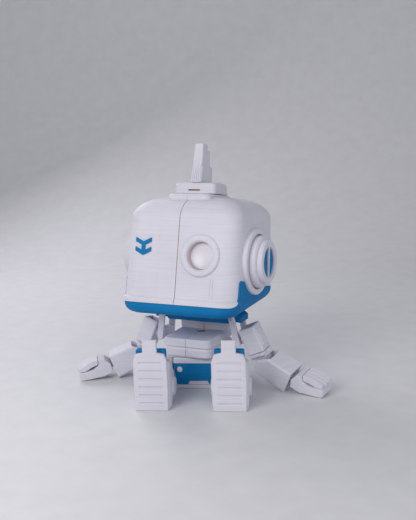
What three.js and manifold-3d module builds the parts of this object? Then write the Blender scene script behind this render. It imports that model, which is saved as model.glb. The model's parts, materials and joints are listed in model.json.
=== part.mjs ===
// A desk-sized humanoid robot kit, sitting with its legs out and its hands on the floor.
// Millimetres, +Z up, the robot faces -Y, and its own left is +X.
// The origin is on the floor, on the waist axis.

import * as THREE from 'three';
import { mergeVertices } from 'three/addons/utils/BufferGeometryUtils.js';
import Module from 'manifold-3d';

const wasm = await Module();
wasm.setup();

// ---------------------------------------------------------------- driving dimensions
const GAP = 0.35;                 // air between neighbouring pieces
const WALL = 2.2;                 // printed wall

const PELVIS = { half: 24.5, front: -33.8, back: 26, height: 31, panelLow: 4.2, panelHigh: 25.8 };
const TORSO = { half: 25.5, front: -36.6, back: 22, low: 31.4, high: 50, turn: -18.6 };
const NECK_BLOCK = { half: 26, front: 6, back: 21, high: 60.7 };
const YOKE = { half: 47, stepHalf: 33, front: -9, back: 11, low: 61.1, high: 73.5 };
const NECK = { radius: 8.5, pivot: 92, cradle: 7 };

const HEAD = {
  centre: 122.6, pitch: 7.08,     // height of the ear axis, and how far the head is tipped back
  half: 60, back: 57, front: -47.4, frontSlope: 0.11, taper: 0.023,
  corner: 17, crownWide: 32, crownTall: 20, top: 60.5, lip: -34.5, border: -40.4, wall: 2.4,
};
const JAW = { front: -51.5, rise: 0.15, chamfer: 9 };
const EYE = { x: 23.6, z: 5.8, outer: 19.9, inner: 14 };
const EAR = { base: 31.8, drum: 25, cap: 21.2, disc: 14.1, face: 74.5 };
const BADGE = { x: -36.5, z: 13, size: 8.5, deep: 0.8 };
const PLINTH = { half: 22.6, front: -25, back: 27, low: 55.5, high: 63.35 };
const BLOCK = { half: 21.8, front: -14, back: 21, high: 74.6 };
const FIN = { low: 74.6, high: 112.7, width: 9 };

const SHOULDER = { x: 38, z: 67, drop: 22, barWidth: 6.5, barThick: 3, splay: 11, y: -4 };
const UPPER_ARM = { width: 17, depth: 19, length: 32.5, x: 15.2, z: -7.2 };
const FOREARM = { height: 20.4, depth: 21.4, slot: 8.2, length: 33 };
const ELBOW_DROP = 27.4;
const ELBOW_BLOCK = 5.6;
const WRIST_REACH = 31.5;
const HAND = { length: 37, low: -8.3, high: 13.5, half: 10.2, ball: 4 };
const ARM_POSE = {
  left: { lift: 12.6, swing: -5.5, turn: 10.5, elbow: 40.5, wrist: 23 },
  right: { lift: 7.3, swing: 12, turn: 34.5, elbow: 47.5, wrist: 12.5 },
};

const LEG = { x: 35.3, hipY: -16, hipZ: 16, thigh: 27, shin: 27, half: 9.5, radius: 10.5 };
const FOOT = { sole: -23.5, plate: 4.6, half: 15.6, shoulder: 36.5, toe: 49.3, tab: 6.5, heel: -16 };
const TREADS = { count: 6, first: -9.2, pitch: 7.5, half: 10.5, height: 1.3, deep: 1 };
const ANKLE = { radius: 8.1, face: 20 };

const COLOURS = {
  white: { color: 0xe9e7f0, roughness: 0.62, metalness: 0 },
  blue: { color: 0x1673b4, roughness: 0.55, metalness: 0 },
  servo: { color: 0x2a5f96, roughness: 0.4, metalness: 0 },
  dark: { color: 0x1c1d21, roughness: 0.5, metalness: 0 },
  board: { color: 0x1f5a3a, roughness: 0.5, metalness: 0 },
  lens: { color: 0xdcd9e6, roughness: 0.35, metalness: 0 },
};

// ---------------------------------------------------------------- helpers
const rad = THREE.MathUtils.degToRad;

function solid(geometry) {
  const bare = geometry.clone();
  bare.deleteAttribute('normal');
  bare.deleteAttribute('uv');
  const merged = mergeVertices(bare, 1e-4);
  const vertProperties = new Float32Array(merged.attributes.position.array);
  const triVerts = new Uint32Array(merged.index.array);
  return new wasm.Manifold(new wasm.Mesh({ numProp: 3, vertProperties, triVerts }));
}

function geometryOf(manifold) {
  const mesh = manifold.getMesh();
  const geometry = new THREE.BufferGeometry();
  geometry.setAttribute('position', new THREE.BufferAttribute(mesh.vertProperties, 3));
  geometry.setIndex(new THREE.BufferAttribute(mesh.triVerts, 1));
  return geometry;
}

function cut(base, ...tools) {
  return geometryOf(tools.reduce((left, tool) => left.subtract(solid(tool)), solid(base)));
}

function join(base, ...others) {
  return geometryOf(others.reduce((left, other) => left.add(solid(other)), solid(base)));
}

function keep(base, tool) {
  return geometryOf(solid(base).intersect(solid(tool)));
}

// A box from its two corners.
function box(low, high) {
  const size = high.map((value, i) => value - low[i]);
  const geometry = new THREE.BoxGeometry(...size);
  return geometry.translate(...low.map((value, i) => value + size[i] / 2));
}

function polygon(points) {
  return new THREE.Shape(points.map(([x, y]) => new THREE.Vector2(x, y)));
}

function roundedOutline(halfX, halfY, radius) {
  const shape = new THREE.Shape();
  const [x, y, r] = [halfX, halfY, radius];
  shape.absarc(x - r, y - r, r, 0, Math.PI / 2);
  shape.absarc(r - x, y - r, r, Math.PI / 2, Math.PI);
  shape.absarc(r - x, r - y, r, Math.PI, Math.PI * 1.5);
  shape.absarc(x - r, r - y, r, Math.PI * 1.5, Math.PI * 2);
  return shape;
}

// An outline pulled along +Z from z = 0, with chamfered rims.
function pulled(shape, depth, chamfer = 0, curveSegments = 3) {
  const geometry = new THREE.ExtrudeGeometry(shape, {
    depth: depth - 2 * chamfer,
    bevelEnabled: chamfer > 0,
    bevelThickness: chamfer,
    bevelSize: chamfer,
    bevelOffset: -chamfer,
    bevelSegments: 1,
    curveSegments,
  });
  return geometry.translate(0, 0, chamfer);
}

// Outline in the Y-Z plane, pulled along X and centred on x = 0.
function sidePulled(shape, width, chamfer = 0, curveSegments = 3) {
  const geometry = pulled(shape, width, chamfer, curveSegments).translate(0, 0, -width / 2);
  const turn = new THREE.Matrix4().makeBasis(
    new THREE.Vector3(0, 1, 0), new THREE.Vector3(0, 0, 1), new THREE.Vector3(1, 0, 0));
  return geometry.applyMatrix4(turn);
}

// Outline in the X-Z plane, pulled along Y from y = front to y = front + depth.
function frontPulled(shape, front, depth, chamfer = 0, curveSegments = 3) {
  const geometry = pulled(shape, depth, chamfer, curveSegments);
  return geometry.rotateX(Math.PI / 2).translate(0, front + depth, 0);
}

// A turned piece: profile points are [radius, height] up the axis, from the axis back to it.
function turned(profile, axis = 'z', segments = 20) {
  const points = profile.map(([r, h]) => new THREE.Vector2(r, h));
  const geometry = new THREE.LatheGeometry(points, segments);
  if (axis === 'z') {
    geometry.rotateX(Math.PI / 2);
  }
  if (axis === 'x') {
    geometry.rotateZ(-Math.PI / 2);
  }
  return geometry;
}

function disc(radius, low, high, axis = 'z', segments = 20, chamfer = 0) {
  const rim = radius - chamfer;
  const profile = chamfer
    ? [[0, low], [rim, low], [radius, low + chamfer], [radius, high - chamfer], [rim, high], [0, high]]
    : [[0, low], [radius, low], [radius, high], [0, high]];
  return turned(profile, axis, segments);
}

// A closed skin through equal rings of points, capped at both ends.
function loft(rings) {
  const count = rings[0].length;
  const positions = rings.flat().flatMap((point) => [point.x, point.y, point.z]);
  const index = [];
  for (let row = 0; row < rings.length - 1; row += 1) {
    for (let i = 0; i < count; i += 1) {
      const a = row * count + i;
      const b = row * count + ((i + 1) % count);
      index.push(a, b, a + count, b, b + count, a + count);
    }
  }
  const last = (rings.length - 1) * count;
  for (let i = 1; i < count - 1; i += 1) {
    index.push(0, i + 1, i);
    index.push(last, last + i, last + i + 1);
  }
  const geometry = new THREE.BufferGeometry();
  geometry.setAttribute('position', new THREE.Float32BufferAttribute(positions, 3));
  geometry.setIndex(index);
  return geometry;
}

// A ring of points round a rectangle with round corners; height(x, y) sets each point's z.
function ringOf(half, front, back, radius, height, steps = 5) {
  const centres = [
    [half - radius, back - radius, 0], [radius - half, back - radius, 1],
    [radius - half, front + radius, 2], [half - radius, front + radius, 3],
  ];
  return centres.flatMap(([cx, cy, quarter]) => Array.from({ length: steps + 1 }, (_, i) => {
    const angle = (quarter + i / steps) * Math.PI / 2;
    const x = cx + radius * Math.cos(angle);
    const y = cy + radius * Math.sin(angle);
    return new THREE.Vector3(x, y, height(x, y));
  }));
}

function add(parent, name, geometry, colour) {
  const mesh = new THREE.Mesh(geometry, new THREE.MeshStandardMaterial(COLOURS[colour]));
  mesh.name = name;
  parent.add(mesh);
  return mesh;
}

function group(parent, position = [0, 0, 0], turn = [0, 0, 0]) {
  const child = new THREE.Group();
  child.position.set(...position);
  child.rotation.set(...turn.map(rad));
  parent.add(child);
  return child;
}

// A micro servo: case, mounting ears and its output, which points along +Z and ends at z = horn.
function servo(size = [12, 22.4, 20], horn = 0) {
  const [width, length, tall] = size;
  const shaft = width / 2;
  const body = box([-width / 2, shaft - length, -tall], [width / 2, shaft, -3]);
  const ears = box([-width / 2, shaft - length - 1.6, -7], [width / 2, shaft + 1.6, -5]);
  const boss = disc(width / 2 - 0.8, -4, horn, 'z', 12);
  return join(body, ears, boss);
}

const robot = new THREE.Group();

// ---------------------------------------------------------------- pelvis
function buildPelvis(parent) {
  const { half, front, back, height, panelLow, panelHigh } = PELVIS;
  const middle = (front + back) / 2;
  const outer = pulled(roundedOutline(half, (back - front) / 2, 3), height, 1).translate(0, middle, 0);
  const cavity = box([WALL - half, front + 5, WALL], [half - WALL, back + 1, height - WALL]);
  const recess = box([-half - 1, front - 1, panelLow], [half + 1, front + 2.8, panelHigh]);
  const waistHole = disc(7.2, height - 5, height + 1);
  const hipHole = disc(5.6, -half - 1, half + 1, 'x', 14).translate(0, LEG.hipY, LEG.hipZ);
  add(parent, 'pelvis_shell', cut(outer, cavity, recess, waistHole, hipHole), 'white');

  const panelFront = front + 0.3;
  const [low, high] = [panelLow + GAP, panelHigh - GAP];
  const [inlayTop, inlayFoot, inlayHead] = [low + 3.6, 11, 8.8];
  const panelShape = polygon([
    [-21.4, low], [-inlayFoot, low], [-inlayHead, inlayTop], [inlayHead, inlayTop], [inlayFoot, low],
    [21.4, low], [half - 0.6, high - 3], [half - 0.6, high], [0.6 - half, high], [0.6 - half, high - 3],
  ]);
  const panel = frontPulled(panelShape, panelFront, 2.1);
  const emblemSeat = disc(3.2, -1, 4, 'y', 14).translate(-18.2, panelFront - 3.2, 19.6);
  add(parent, 'pelvis_front_panel', cut(panel, emblemSeat), 'blue');

  const inlayShape = polygon([
    [-inlayFoot + 0.8, low], [inlayFoot - 0.8, low],
    [inlayHead - 0.1, inlayTop - GAP], [0.1 - inlayHead, inlayTop - GAP],
  ]);
  const inlay = frontPulled(inlayShape, panelFront + 0.4, 1.7);
  const slot = box([-6, front - 1, low + 1.5], [6, panelFront + 1, low + 2.1]);
  add(parent, 'pelvis_inlay', cut(inlay, slot), 'white');
  const emblem = disc(2.8, 0, 0.8, 'y', 20, 0.3).translate(-18.2, panelFront - 0.3, 19.6);
  add(parent, 'pelvis_emblem', emblem, 'white');

  const cover = pulled(roundedOutline(half - WALL - GAP, (height - 2 * WALL) / 2 - GAP, 2), 2.4, 0.5);
  cover.rotateX(Math.PI / 2).translate(0, back, height / 2);
  const vents = [-8, 0, 8].map((z) => box([-12, back - 4, 14.6 + z], [12, back + 1, 16.4 + z]));
  add(parent, 'pelvis_rear_cover', cut(cover, ...vents), 'blue');

  add(parent, 'waist_servo', servo([12, 22.4, 20]).rotateZ(Math.PI).translate(0, 0, 26), 'servo');
  const reach = LEG.x - LEG.half + 2.6 - 22;
  const hipServo = (sign) => servo([12, 18, 19], reach).rotateX(Math.PI / 2)
    .rotateZ(sign * Math.PI / 2).translate(sign * 22, LEG.hipY, LEG.hipZ);
  const rail = box([-6, LEG.hipY - 5, LEG.hipZ - 4], [6, LEG.hipY + 5, LEG.hipZ + 4]);
  add(parent, 'hip_servo_pair', join(hipServo(1), hipServo(-1), rail), 'servo');
}

// ---------------------------------------------------------------- legs
function stadium(reach, radius) {
  const shape = new THREE.Shape();
  shape.absarc(0, 0, radius, -Math.PI / 2, Math.PI / 2);
  shape.absarc(-reach, 0, radius, Math.PI / 2, Math.PI * 1.5);
  return shape;
}

function buildFoot(parent, side) {
  const { sole, plate, half, shoulder, toe, tab, heel } = FOOT;
  const outline = polygon([
    [-half + 0.6, heel], [half - 0.6, heel], [half, heel + 22], [half - 0.4, shoulder - 5.5],
    [half - 2.6, shoulder], [tab, shoulder + 1.4], [tab, toe],
    [-tab, toe], [-tab, shoulder + 1.4], [2.6 - half, shoulder], [0.4 - half, shoulder - 5.5],
    [-half, heel + 22],
  ]);
  const tread = (i) => {
    const low = TREADS.first + i * TREADS.pitch;
    return box([-TREADS.half, sole - 1, low], [TREADS.half, sole + TREADS.deep, low + TREADS.height]);
  };
  const treads = Array.from({ length: TREADS.count }, (_, i) => tread(i));
  add(parent, `foot_sole_${side}`, cut(frontPulled(outline, sole, plate, 0.7), ...treads), 'white');

  const behind = sole + plate + GAP;
  const shell = sidePulled(polygon([
    [behind, heel], [behind + 9, heel], [8, -8], [10.5, 2], [8.5, 12], [-10, 29], [behind, 29],
  ]), 2 * half - 1.4, 1);
  const tongueSlot = box([-5.4, -11.5, heel - 1], [5.4, 20, 30]);
  const lowerWeb = box([-5.5, -12, heel - 1], [5.5, 20, -11.5]);
  const pinHole = disc(2.9, -30, 30, 'x', 10);
  const slot = cut(tongueSlot, lowerWeb);
  add(parent, `foot_shell_${side}`, cut(shell, slot, pinHole), 'white');

  const instep = sidePulled(polygon([
    [behind, 29 + GAP], [-10 - GAP, 29 + GAP], [-12, 39.5], [behind, 39.5],
  ]), 27, 0.8);
  add(parent, `foot_instep_${side}`, instep, 'blue');

  const pin = disc(2.6, -half - 1, half + 1, 'x', 10);
  const cap = (sign) => {
    const profile = [[0, half], [ANKLE.radius + 1.6, half], [ANKLE.radius, ANKLE.face], [0, ANKLE.face]];
    return turned(profile, 'x', 24).rotateZ(sign > 0 ? 0 : Math.PI);
  };
  add(parent, `ankle_axle_${side}`, join(pin, cap(1), cap(-1)), 'white');
}

function buildLeg(parent, side) {
  const sign = side === 'left' ? 1 : -1;
  const hip = group(parent, [sign * LEG.x, LEG.hipY, LEG.hipZ]);
  const { thigh, shin, half, radius } = LEG;
  const body = sidePulled(stadium(thigh, radius), 2 * half, 1.2, 5);
  const kneeGap = box([-5.4, -thigh - 20, -20], [5.4, 11.5 - thigh, 20]);
  const pinHole = disc(2.9, -20, 20, 'x', 10).translate(0, -thigh, 0);
  const hubHole = disc(5.6, -half - 1, 3 - half, 'x', 14);
  hubHole.rotateZ(sign > 0 ? 0 : Math.PI);
  add(hip, `thigh_shell_${side}`, cut(body, kneeGap, pinHole, hubHole), 'white');

  const knee = group(hip, [0, -thigh, 0]);
  const link = sidePulled(stadium(shin, radius - 1.5), 10, 0.8, 5);
  const ankleHole = disc(2.9, -9, 9, 'x', 10).translate(0, -shin, 0);
  const kneePin = disc(2.5, -half, half, 'x', 10);
  add(knee, `shin_link_${side}`, join(cut(link, ankleHole), kneePin), 'white');
  buildFoot(group(knee, [0, -shin, 0]), side);
}

// ---------------------------------------------------------------- torso
function buildTorso(parent) {
  const { half, front, back, low, high } = TORSO;
  const layer = (z, inset) => ringOf(half - inset, front + inset, back - inset, 6.5 - inset / 2, () => z, 4);
  const groove = (low + high) / 2;
  const skin = loft([
    layer(low, 1.6), layer(low + 1.6, 0), layer(groove - 1.8, 0), layer(groove - 0.6, 1.6),
    layer(groove + 0.6, 1.6), layer(groove + 1.8, 0), layer(high - 1.6, 0), layer(high, 1.6),
  ]);
  const room = loft([layer(low + WALL, 3.9), layer(high - WALL, 3.9)]);
  const hubHole = disc(7.2, low - 1, low + 5);
  const neckHole = disc(6, high - 5, high + 1);
  const bodySkin = cut(skin, room, hubHole, neckHole);
  const halfSpace = (sign) => {
    const [a, b] = sign > 0 ? [0.2, 60] : [-60, -0.2];
    return box([a, -80, 0], [b, 80, 100]);
  };
  const block = NECK_BLOCK;
  const middle = (block.front + block.back) / 2;
  const outline = roundedOutline(block.half, (block.back - block.front) / 2, 1.5);
  const column = pulled(outline, block.high - high + 1, 0.6).translate(0, middle, high - 1);
  const cableBore = disc(4.2, high - 5, block.high + 1).translate(0, middle, 0);
  const whole = cut(join(bodySkin, column), cableBore);
  for (const [side, sign] of [['left', 1], ['right', -1]]) {
    add(parent, `torso_shell_${side}`, keep(whole, halfSpace(sign)), 'white');
  }
  const hub = join(disc(6.6, 27, low + WALL + 1), disc(10, low + WALL + GAP, low + WALL + 2.6));
  add(parent, 'waist_hub', hub, 'dark');
  add(parent, 'battery_pack', box([-18, -30, low + 6], [18, 15, low + 14.2]), 'dark');

  const { half: span, stepHalf, front: near, back: far, low: foot, high: top } = YOKE;
  const lug = foot + 2;
  const section = polygon([
    [-span, lug], [-stepHalf - 1, lug], [-stepHalf, foot], [stepHalf, foot], [stepHalf + 1, lug],
    [span, lug], [span, top - 5], [span - 7, top], [7 - span, top], [-span, top - 5],
  ]);
  const beam = frontPulled(section, near, far - near, 1);
  const bore = (sign) => disc(2.9, -30, 30, 'y', 10).translate(sign * SHOULDER.x, 0, SHOULDER.z);
  const post = disc(5.4, foot - 1, top + 1);
  add(parent, 'shoulder_yoke', cut(beam, bore(-1), bore(1), post), 'blue');
}

// ---------------------------------------------------------------- arms
function buildHand(parent, side, up) {
  const { length, low, high, half, ball } = HAND;
  const place = (geometry) => geometry.rotateZ(up > 0 ? 0 : Math.PI);
  const profile = polygon([
    [low, -9.5], [low + 1, -25], [1, -25], [5, -15.5], [high - 1.5, -15.5],
    [high, -13], [high - 2.5, -10], [4, -6], [-4, -6],
  ]);
  const palm = frontPulled(profile, -half, 2 * half, 0.8);
  const knob = join(new THREE.SphereGeometry(ball, 12, 8), disc(2.8, -8, 0, 'z', 12));
  const thumb = frontPulled(polygon([
    [low, -length + 13], [low, -length + 2.5], [low + 1.5, -length], [low + 7.2, -length + 0.8],
    [low + 8.4, -length + 4], [low + 8.8, -length + 13],
  ]), 0.6 - half, 2 * half - 1.2, 0.8);
  add(parent, `hand_palm_${side}`, place(join(palm, knob, thumb)), 'white');

  const pitch = (2 * half) / 4;
  const finger = (i) => {
    const shape = polygon([
      [high - 2.6, -15.9], [high - 6, -22], [high - 8.6, -length + 7], [high - 10.5, -length + 3],
      [high - 9.5, -length], [high - 6, -length + 2], [high - 0.4, -length + 14], [high, -15.9],
    ]);
    return frontPulled(shape, i * pitch - half + 0.15, pitch - 0.3, 0.4);
  };
  const knuckles = box([high - 2.4, 0.8 - half, -18], [high - 0.8, half - 0.8, -16.1]);
  add(parent, `hand_fingers_${side}`, place(join(knuckles, ...[0, 1, 2, 3].map(finger))), 'white');
}

// A stadium outline that hangs down from the origin.
function hangingStadium(reach, radius) {
  const shape = new THREE.Shape();
  shape.absarc(0, 0, radius, 0, Math.PI);
  shape.absarc(0, -reach, radius, Math.PI, Math.PI * 2);
  return shape;
}

function buildArm(torso, side) {
  const sign = side === 'left' ? 1 : -1;
  const pose = ARM_POSE[side];
  const place = (geometry) => geometry.rotateZ(sign > 0 ? 0 : Math.PI);

  const fork = group(torso, [sign * SHOULDER.x, 0, SHOULDER.z], [0, -sign * pose.lift, 0]);
  const { drop, barWidth, barThick } = SHOULDER;
  const barFront = YOKE.front - GAP - barThick;
  const barBack = YOKE.back + GAP;
  const bar = (front) => frontPulled(hangingStadium(drop + 3, barWidth / 2), front, barThick, 0.6, 3);
  const webLow = [-barWidth / 2, barFront + 1, -drop - 4.5];
  const web = box(webLow, [barWidth / 2, barBack + barThick - 1, 4.5 - drop]);
  const pinAt = disc(2.9, -20, 20, 'x', 10).translate(0, SHOULDER.y, -drop);
  const axle = disc(2.5, barFront + 1, barBack + barThick - 1, 'y', 10);
  add(fork, `shoulder_bracket_${side}`, cut(join(bar(barFront), bar(barBack), web, axle), pinAt), 'white');

  const swing = group(fork, [0, SHOULDER.y, -drop], [-pose.swing, 0, 0]);
  const hub = join(disc(5, 3.7, 8, 'x', 14), disc(2.5, -3, 4, 'x', 10));

  const arm = group(swing, [0, 0, 0], [0, -sign * SHOULDER.splay, 0]);
  const { width, depth, length, x, z } = UPPER_ARM;
  const [top, foot] = [z + length / 2, z - length / 2];
  const floor = foot + ELBOW_BLOCK + GAP;
  const outline = roundedOutline(width / 2, depth / 2, 1.6);
  const shell = pulled(outline, top - floor, 1).translate(x, 0, floor);
  const room = box([x - width / 2 + 1.8, 1.8 - depth / 2, floor + 3],
    [x + width / 2 - 1.8, depth / 2 - 1.8, top + 1]);
  const swivelBore = disc(4.3, floor - 1, floor + 4).translate(x, 0, 0);
  const panelShape = roundedOutline(length / 2 - 8, depth / 2 - 3.5, 1.5);
  const panel = pulled(panelShape, 1.2, 0.4).rotateY(Math.PI / 2).translate(x + width / 2 - 0.4, 0, z + 3);
  const hubInArm = hub.clone().rotateY(rad(SHOULDER.splay));
  const skin = cut(join(shell, panel, hubInArm), room, swivelBore);
  add(arm, `upper_arm_shell_${side}`, place(skin), 'white');
  const unit = box([x - 6, 2.2 - depth / 2, floor + 5.5], [x + 6, depth / 2 - 2.2, top - 4]);
  add(arm, `upper_arm_servo_${side}`, place(unit), 'servo');

  const swivel = group(arm, [sign * x, 0, 0], [0, 0, -sign * pose.turn]);
  const shoulders = [[-20, -7], [7, 20]].map(([a, b]) => box([-20, a, foot - 1], [20, b, foot + 2.9]));
  const tongue = frontPulled(hangingStadium(4, 5.2), -6.9, 13.8, 0.3, 3).translate(0, 0, 4 - ELBOW_DROP);
  const elbowBore = disc(2.9, -20, 20, 'y', 10).translate(0, 0, -ELBOW_DROP);
  const spigot = join(disc(4, floor - 1, floor + 3.8), disc(5.6, floor + 3.3, floor + 4.6));
  const block = cut(pulled(outline, ELBOW_BLOCK, 0.6).translate(0, 0, foot), ...shoulders);
  add(swivel, `elbow_block_${side}`, place(cut(join(block, tongue, spigot), elbowBore)), 'white');

  const elbow = group(swivel, [0, 0, -ELBOW_DROP], [0, -sign * pose.elbow, 0]);
  const { height, depth: thick, slot, length: reach } = FOREARM;
  const sleeveShape = polygon([
    [-height / 2, -reach], [height / 2, -reach], [height / 2, -6.9], [2.5, 3.6], [-6, 3.6],
    [-height / 2, -0.6],
  ]);
  const sleeve = frontPulled(sleeveShape, -thick / 2, thick, 1.6);
  const tongueRoom = box([-20, -7.3, -slot], [20, 7.3, 10]);
  const inside = box([2 - height / 2, 2 - thick / 2, -reach - 1],
    [height / 2 - 2, thick / 2 - 2, -slot - 4]);
  const pin = disc(2.5, 0.8 - thick / 2, thick / 2 - 0.8, 'y', 10);
  const wristBlock = box([1 - height / 2, 1 - thick / 2, 0.8 - reach],
    [height / 2 - 1, thick / 2 - 1, 3.4 - reach]);
  const socket = disc(4.6, -reach - 1, 5 - reach);
  const hollow = join(cut(sleeve, tongueRoom, inside), pin);
  add(elbow, `forearm_shell_${side}`, place(cut(join(hollow, wristBlock), socket)), 'white');
  const elbowServo = box([-6, 2.4 - thick / 2, 6 - reach], [6, thick / 2 - 2.4, -slot - 4.4]);
  add(elbow, `forearm_servo_${side}`, place(elbowServo), 'servo');

  const wrist = group(elbow, [0, 0, -WRIST_REACH], [0, -sign * pose.wrist, 0]);
  buildHand(wrist, side, sign);
}

// ---------------------------------------------------------------- neck and head
function buildNeck(parent) {
  const top = NECK.pivot + NECK.cradle;
  const post = disc(NECK.radius, YOKE.high + GAP, NECK.pivot - 5);
  const spigot = disc(5, YOKE.low + 2, YOKE.high + 2);
  const knuckle = disc(NECK.cradle, -9, 9, 'x', 24).translate(0, 0, NECK.pivot);
  const bore = disc(2.9, -20, 20, 'x', 10).translate(0, 0, NECK.pivot);
  const shape = join(post, spigot, box([-6, -6, NECK.pivot - 8], [6, 6, top - 6]), knuckle);
  add(parent, 'neck_post', cut(shape, bore), 'dark');
}

function headRing(z, inset) {
  const { half, back, front, frontSlope, taper, corner, lip } = HEAD;
  const side = half - taper * (z - lip) - inset;
  const radius = Math.max(corner - inset * 0.4, 4);
  return ringOf(side, front + frontSlope * z + inset, back - inset, radius, () => z, 5);
}

function headSkin(shrink) {
  const { top, crownWide, crownTall, lip, border } = HEAD;
  const floor = border - 25;
  const arcs = Array.from({ length: 7 }, (_, i) => (i / 6) * Math.PI / 2);
  const crownRings = arcs.map((t) => headRing(top - crownTall + (crownTall - shrink) * Math.sin(t),
    shrink + (crownWide - shrink) * (1 - Math.cos(t))));
  const lipOut = shrink > 0 ? shrink : -1.7;
  return loft([
    headRing(floor, lipOut), headRing(lip - 1.8, lipOut), headRing(lip, shrink), headRing(4, shrink),
    ...crownRings,
  ]);
}

// The blue jaw's region, seen from the side: low at the face, high on the cheeks.
function jawRegion(grow) {
  const { border } = HEAD;
  return sidePulled(polygon([
    [-90, -90], [90, -90], [90, -27 + grow], [39, -26.5 + grow], [-33, -16.5 + grow],
    [-36 - grow, -17.5 + grow], [-38 - grow, -22 + grow], [-39.3 - grow, -31 + grow],
    [-41.5 - grow, -36 + grow], [-45.5 - grow, border + 1.2 + grow],
    [-49, border + grow], [-90, border + grow],
  ]), 200);
}

function jawLoft(shrink) {
  const { half, back, corner, front, lip, taper } = HEAD;
  const floor = (y) => JAW.front + JAW.rise * (y + 44);
  const side = half - taper * (-45 - lip) - shrink;
  const ringAt = (lift, inset) => ringOf(side - inset, front - 5.4 + inset + shrink, back - inset - shrink,
    Math.max(corner - inset * 0.3 - shrink, 3), (x, y) => floor(y) + lift, 5);
  const base = shrink > 0 ? 2.6 : 0;
  return loft([
    ringAt(base, JAW.chamfer - base), ringAt(base + 1.6, JAW.chamfer - 4.5 - base / 2), ringAt(5.5, 1.4),
    ringAt(10, 0), ringAt(44, 0),
  ]);
}

function buildJaw(parent) {
  const shell = cut(jawLoft(0), jawLoft(HEAD.wall));
  const drop = NECK.pivot - HEAD.centre - 14;
  const neckHole = disc(13, -80, -20).translate(0, -Math.sin(rad(HEAD.pitch)) * drop, 0);
  const earHole = disc(9, -90, 90, 'x', 24);
  add(parent, 'head_jaw', cut(keep(shell, jawRegion(-GAP)), neckHole, earHole), 'blue');

  const pivot = NECK.pivot - HEAD.centre;
  const back = Math.sin(rad(HEAD.pitch)) * pivot;
  const height = Math.cos(rad(HEAD.pitch)) * pivot;
  const cheek = (a, b) => box([a, -back - 8, height - 8], [b, -back + 8, height + 12]);
  const bridge = box([-13.2, -back - 8, height + 9.4], [13.2, -back + 8, height + 12]);
  const shelf = box([-46, -back - 5, height + 9.4], [46, -back + 5, height + 12]);
  const cradle = join(cheek(-13.2, -10.6), cheek(10.6, 13.2), bridge, shelf);
  const axle = disc(2.5, -12, 12, 'x', 10).translate(0, -back, height);
  add(parent, 'neck_cradle', join(cradle, axle), 'dark');
  add(parent, 'neck_servo', servo().translate(26, -back, height + 12.4 + 20), 'servo');
  add(parent, 'head_controller', box([-36, 8, height + 13], [-8, 34, height + 15]), 'board');
}

function buildEye(parent) {
  const slope = THREE.MathUtils.radToDeg(Math.atan(HEAD.frontSlope));
  const face = HEAD.front + HEAD.frontSlope * EYE.z;
  const seat = group(parent, [EYE.x, face, EYE.z], [-slope, 0, 0]);
  const { inner, outer } = EYE;
  const rim = turned([
    [inner - 1.4, -9], [inner, -9], [inner, GAP], [outer, GAP], [outer, 1.6],
    [outer - 1.6, 2.8], [inner + 1.4, 2.8], [inner - 1.4, 0.4], [inner - 1.4, -9],
  ], 'y', 28).rotateX(Math.PI);
  add(seat, 'eye_ring', rim, 'white');
  const dish = turned([
    [0, -8.4], [inner - 1.8, -8.4], [inner - 1.8, -5.6], [8, -6.8], [0, -7.2],
  ], 'y', 26).rotateX(Math.PI);
  add(seat, 'eye_lens', dish, 'lens');
}

function buildEar(parent, side) {
  const sign = side === 'left' ? 1 : -1;
  const place = (geometry) => geometry.rotateZ(sign > 0 ? 0 : Math.PI);
  const root = HEAD.half + 0.5;
  const drumTop = root + 9;
  const drum = turned([
    [0, root - 6], [7.5, root - 6], [7.5, root], [EAR.base, root], [EAR.base, root + 1.6],
    [EAR.base - 1.2, root + 2.8], [EAR.drum + 2.4, root + 2.8], [EAR.drum + 0.6, root + 1.2],
    [EAR.drum, root + 1.2], [EAR.drum, root + 7.5], [EAR.drum - 1.5, drumTop], [0, drumTop],
  ], 'x', 26);
  add(parent, `ear_drum_${side}`, place(drum), 'white');
  const capLow = drumTop + GAP;
  const hole = EAR.disc + GAP;
  const cap = turned([
    [hole, capLow], [EAR.cap, capLow], [EAR.cap, EAR.face - 1], [EAR.cap - 1, EAR.face],
    [hole + 1.4, EAR.face], [hole, EAR.face - 1.4], [hole, capLow],
  ], 'x', 26);
  const bar = box([EAR.face - 3.1, -1.5, -EAR.disc - 1], [EAR.face - 0.8, 1.5, EAR.disc + 1]);
  add(parent, `ear_cap_${side}`, place(join(cap, bar)), 'white');
  const plate = disc(EAR.disc - 0.2, capLow, EAR.face - 1.8, 'x', 26);
  const channel = box([EAR.face - 3.5, -1.9, -30], [EAR.face, 1.9, 30]);
  add(parent, `ear_disc_${side}`, place(cut(plate, channel)), 'blue');
}

function plinthOutline(grow) {
  return roundedOutline(PLINTH.half + grow, (PLINTH.back - PLINTH.front) / 2 + grow, 5 + grow);
}

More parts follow.
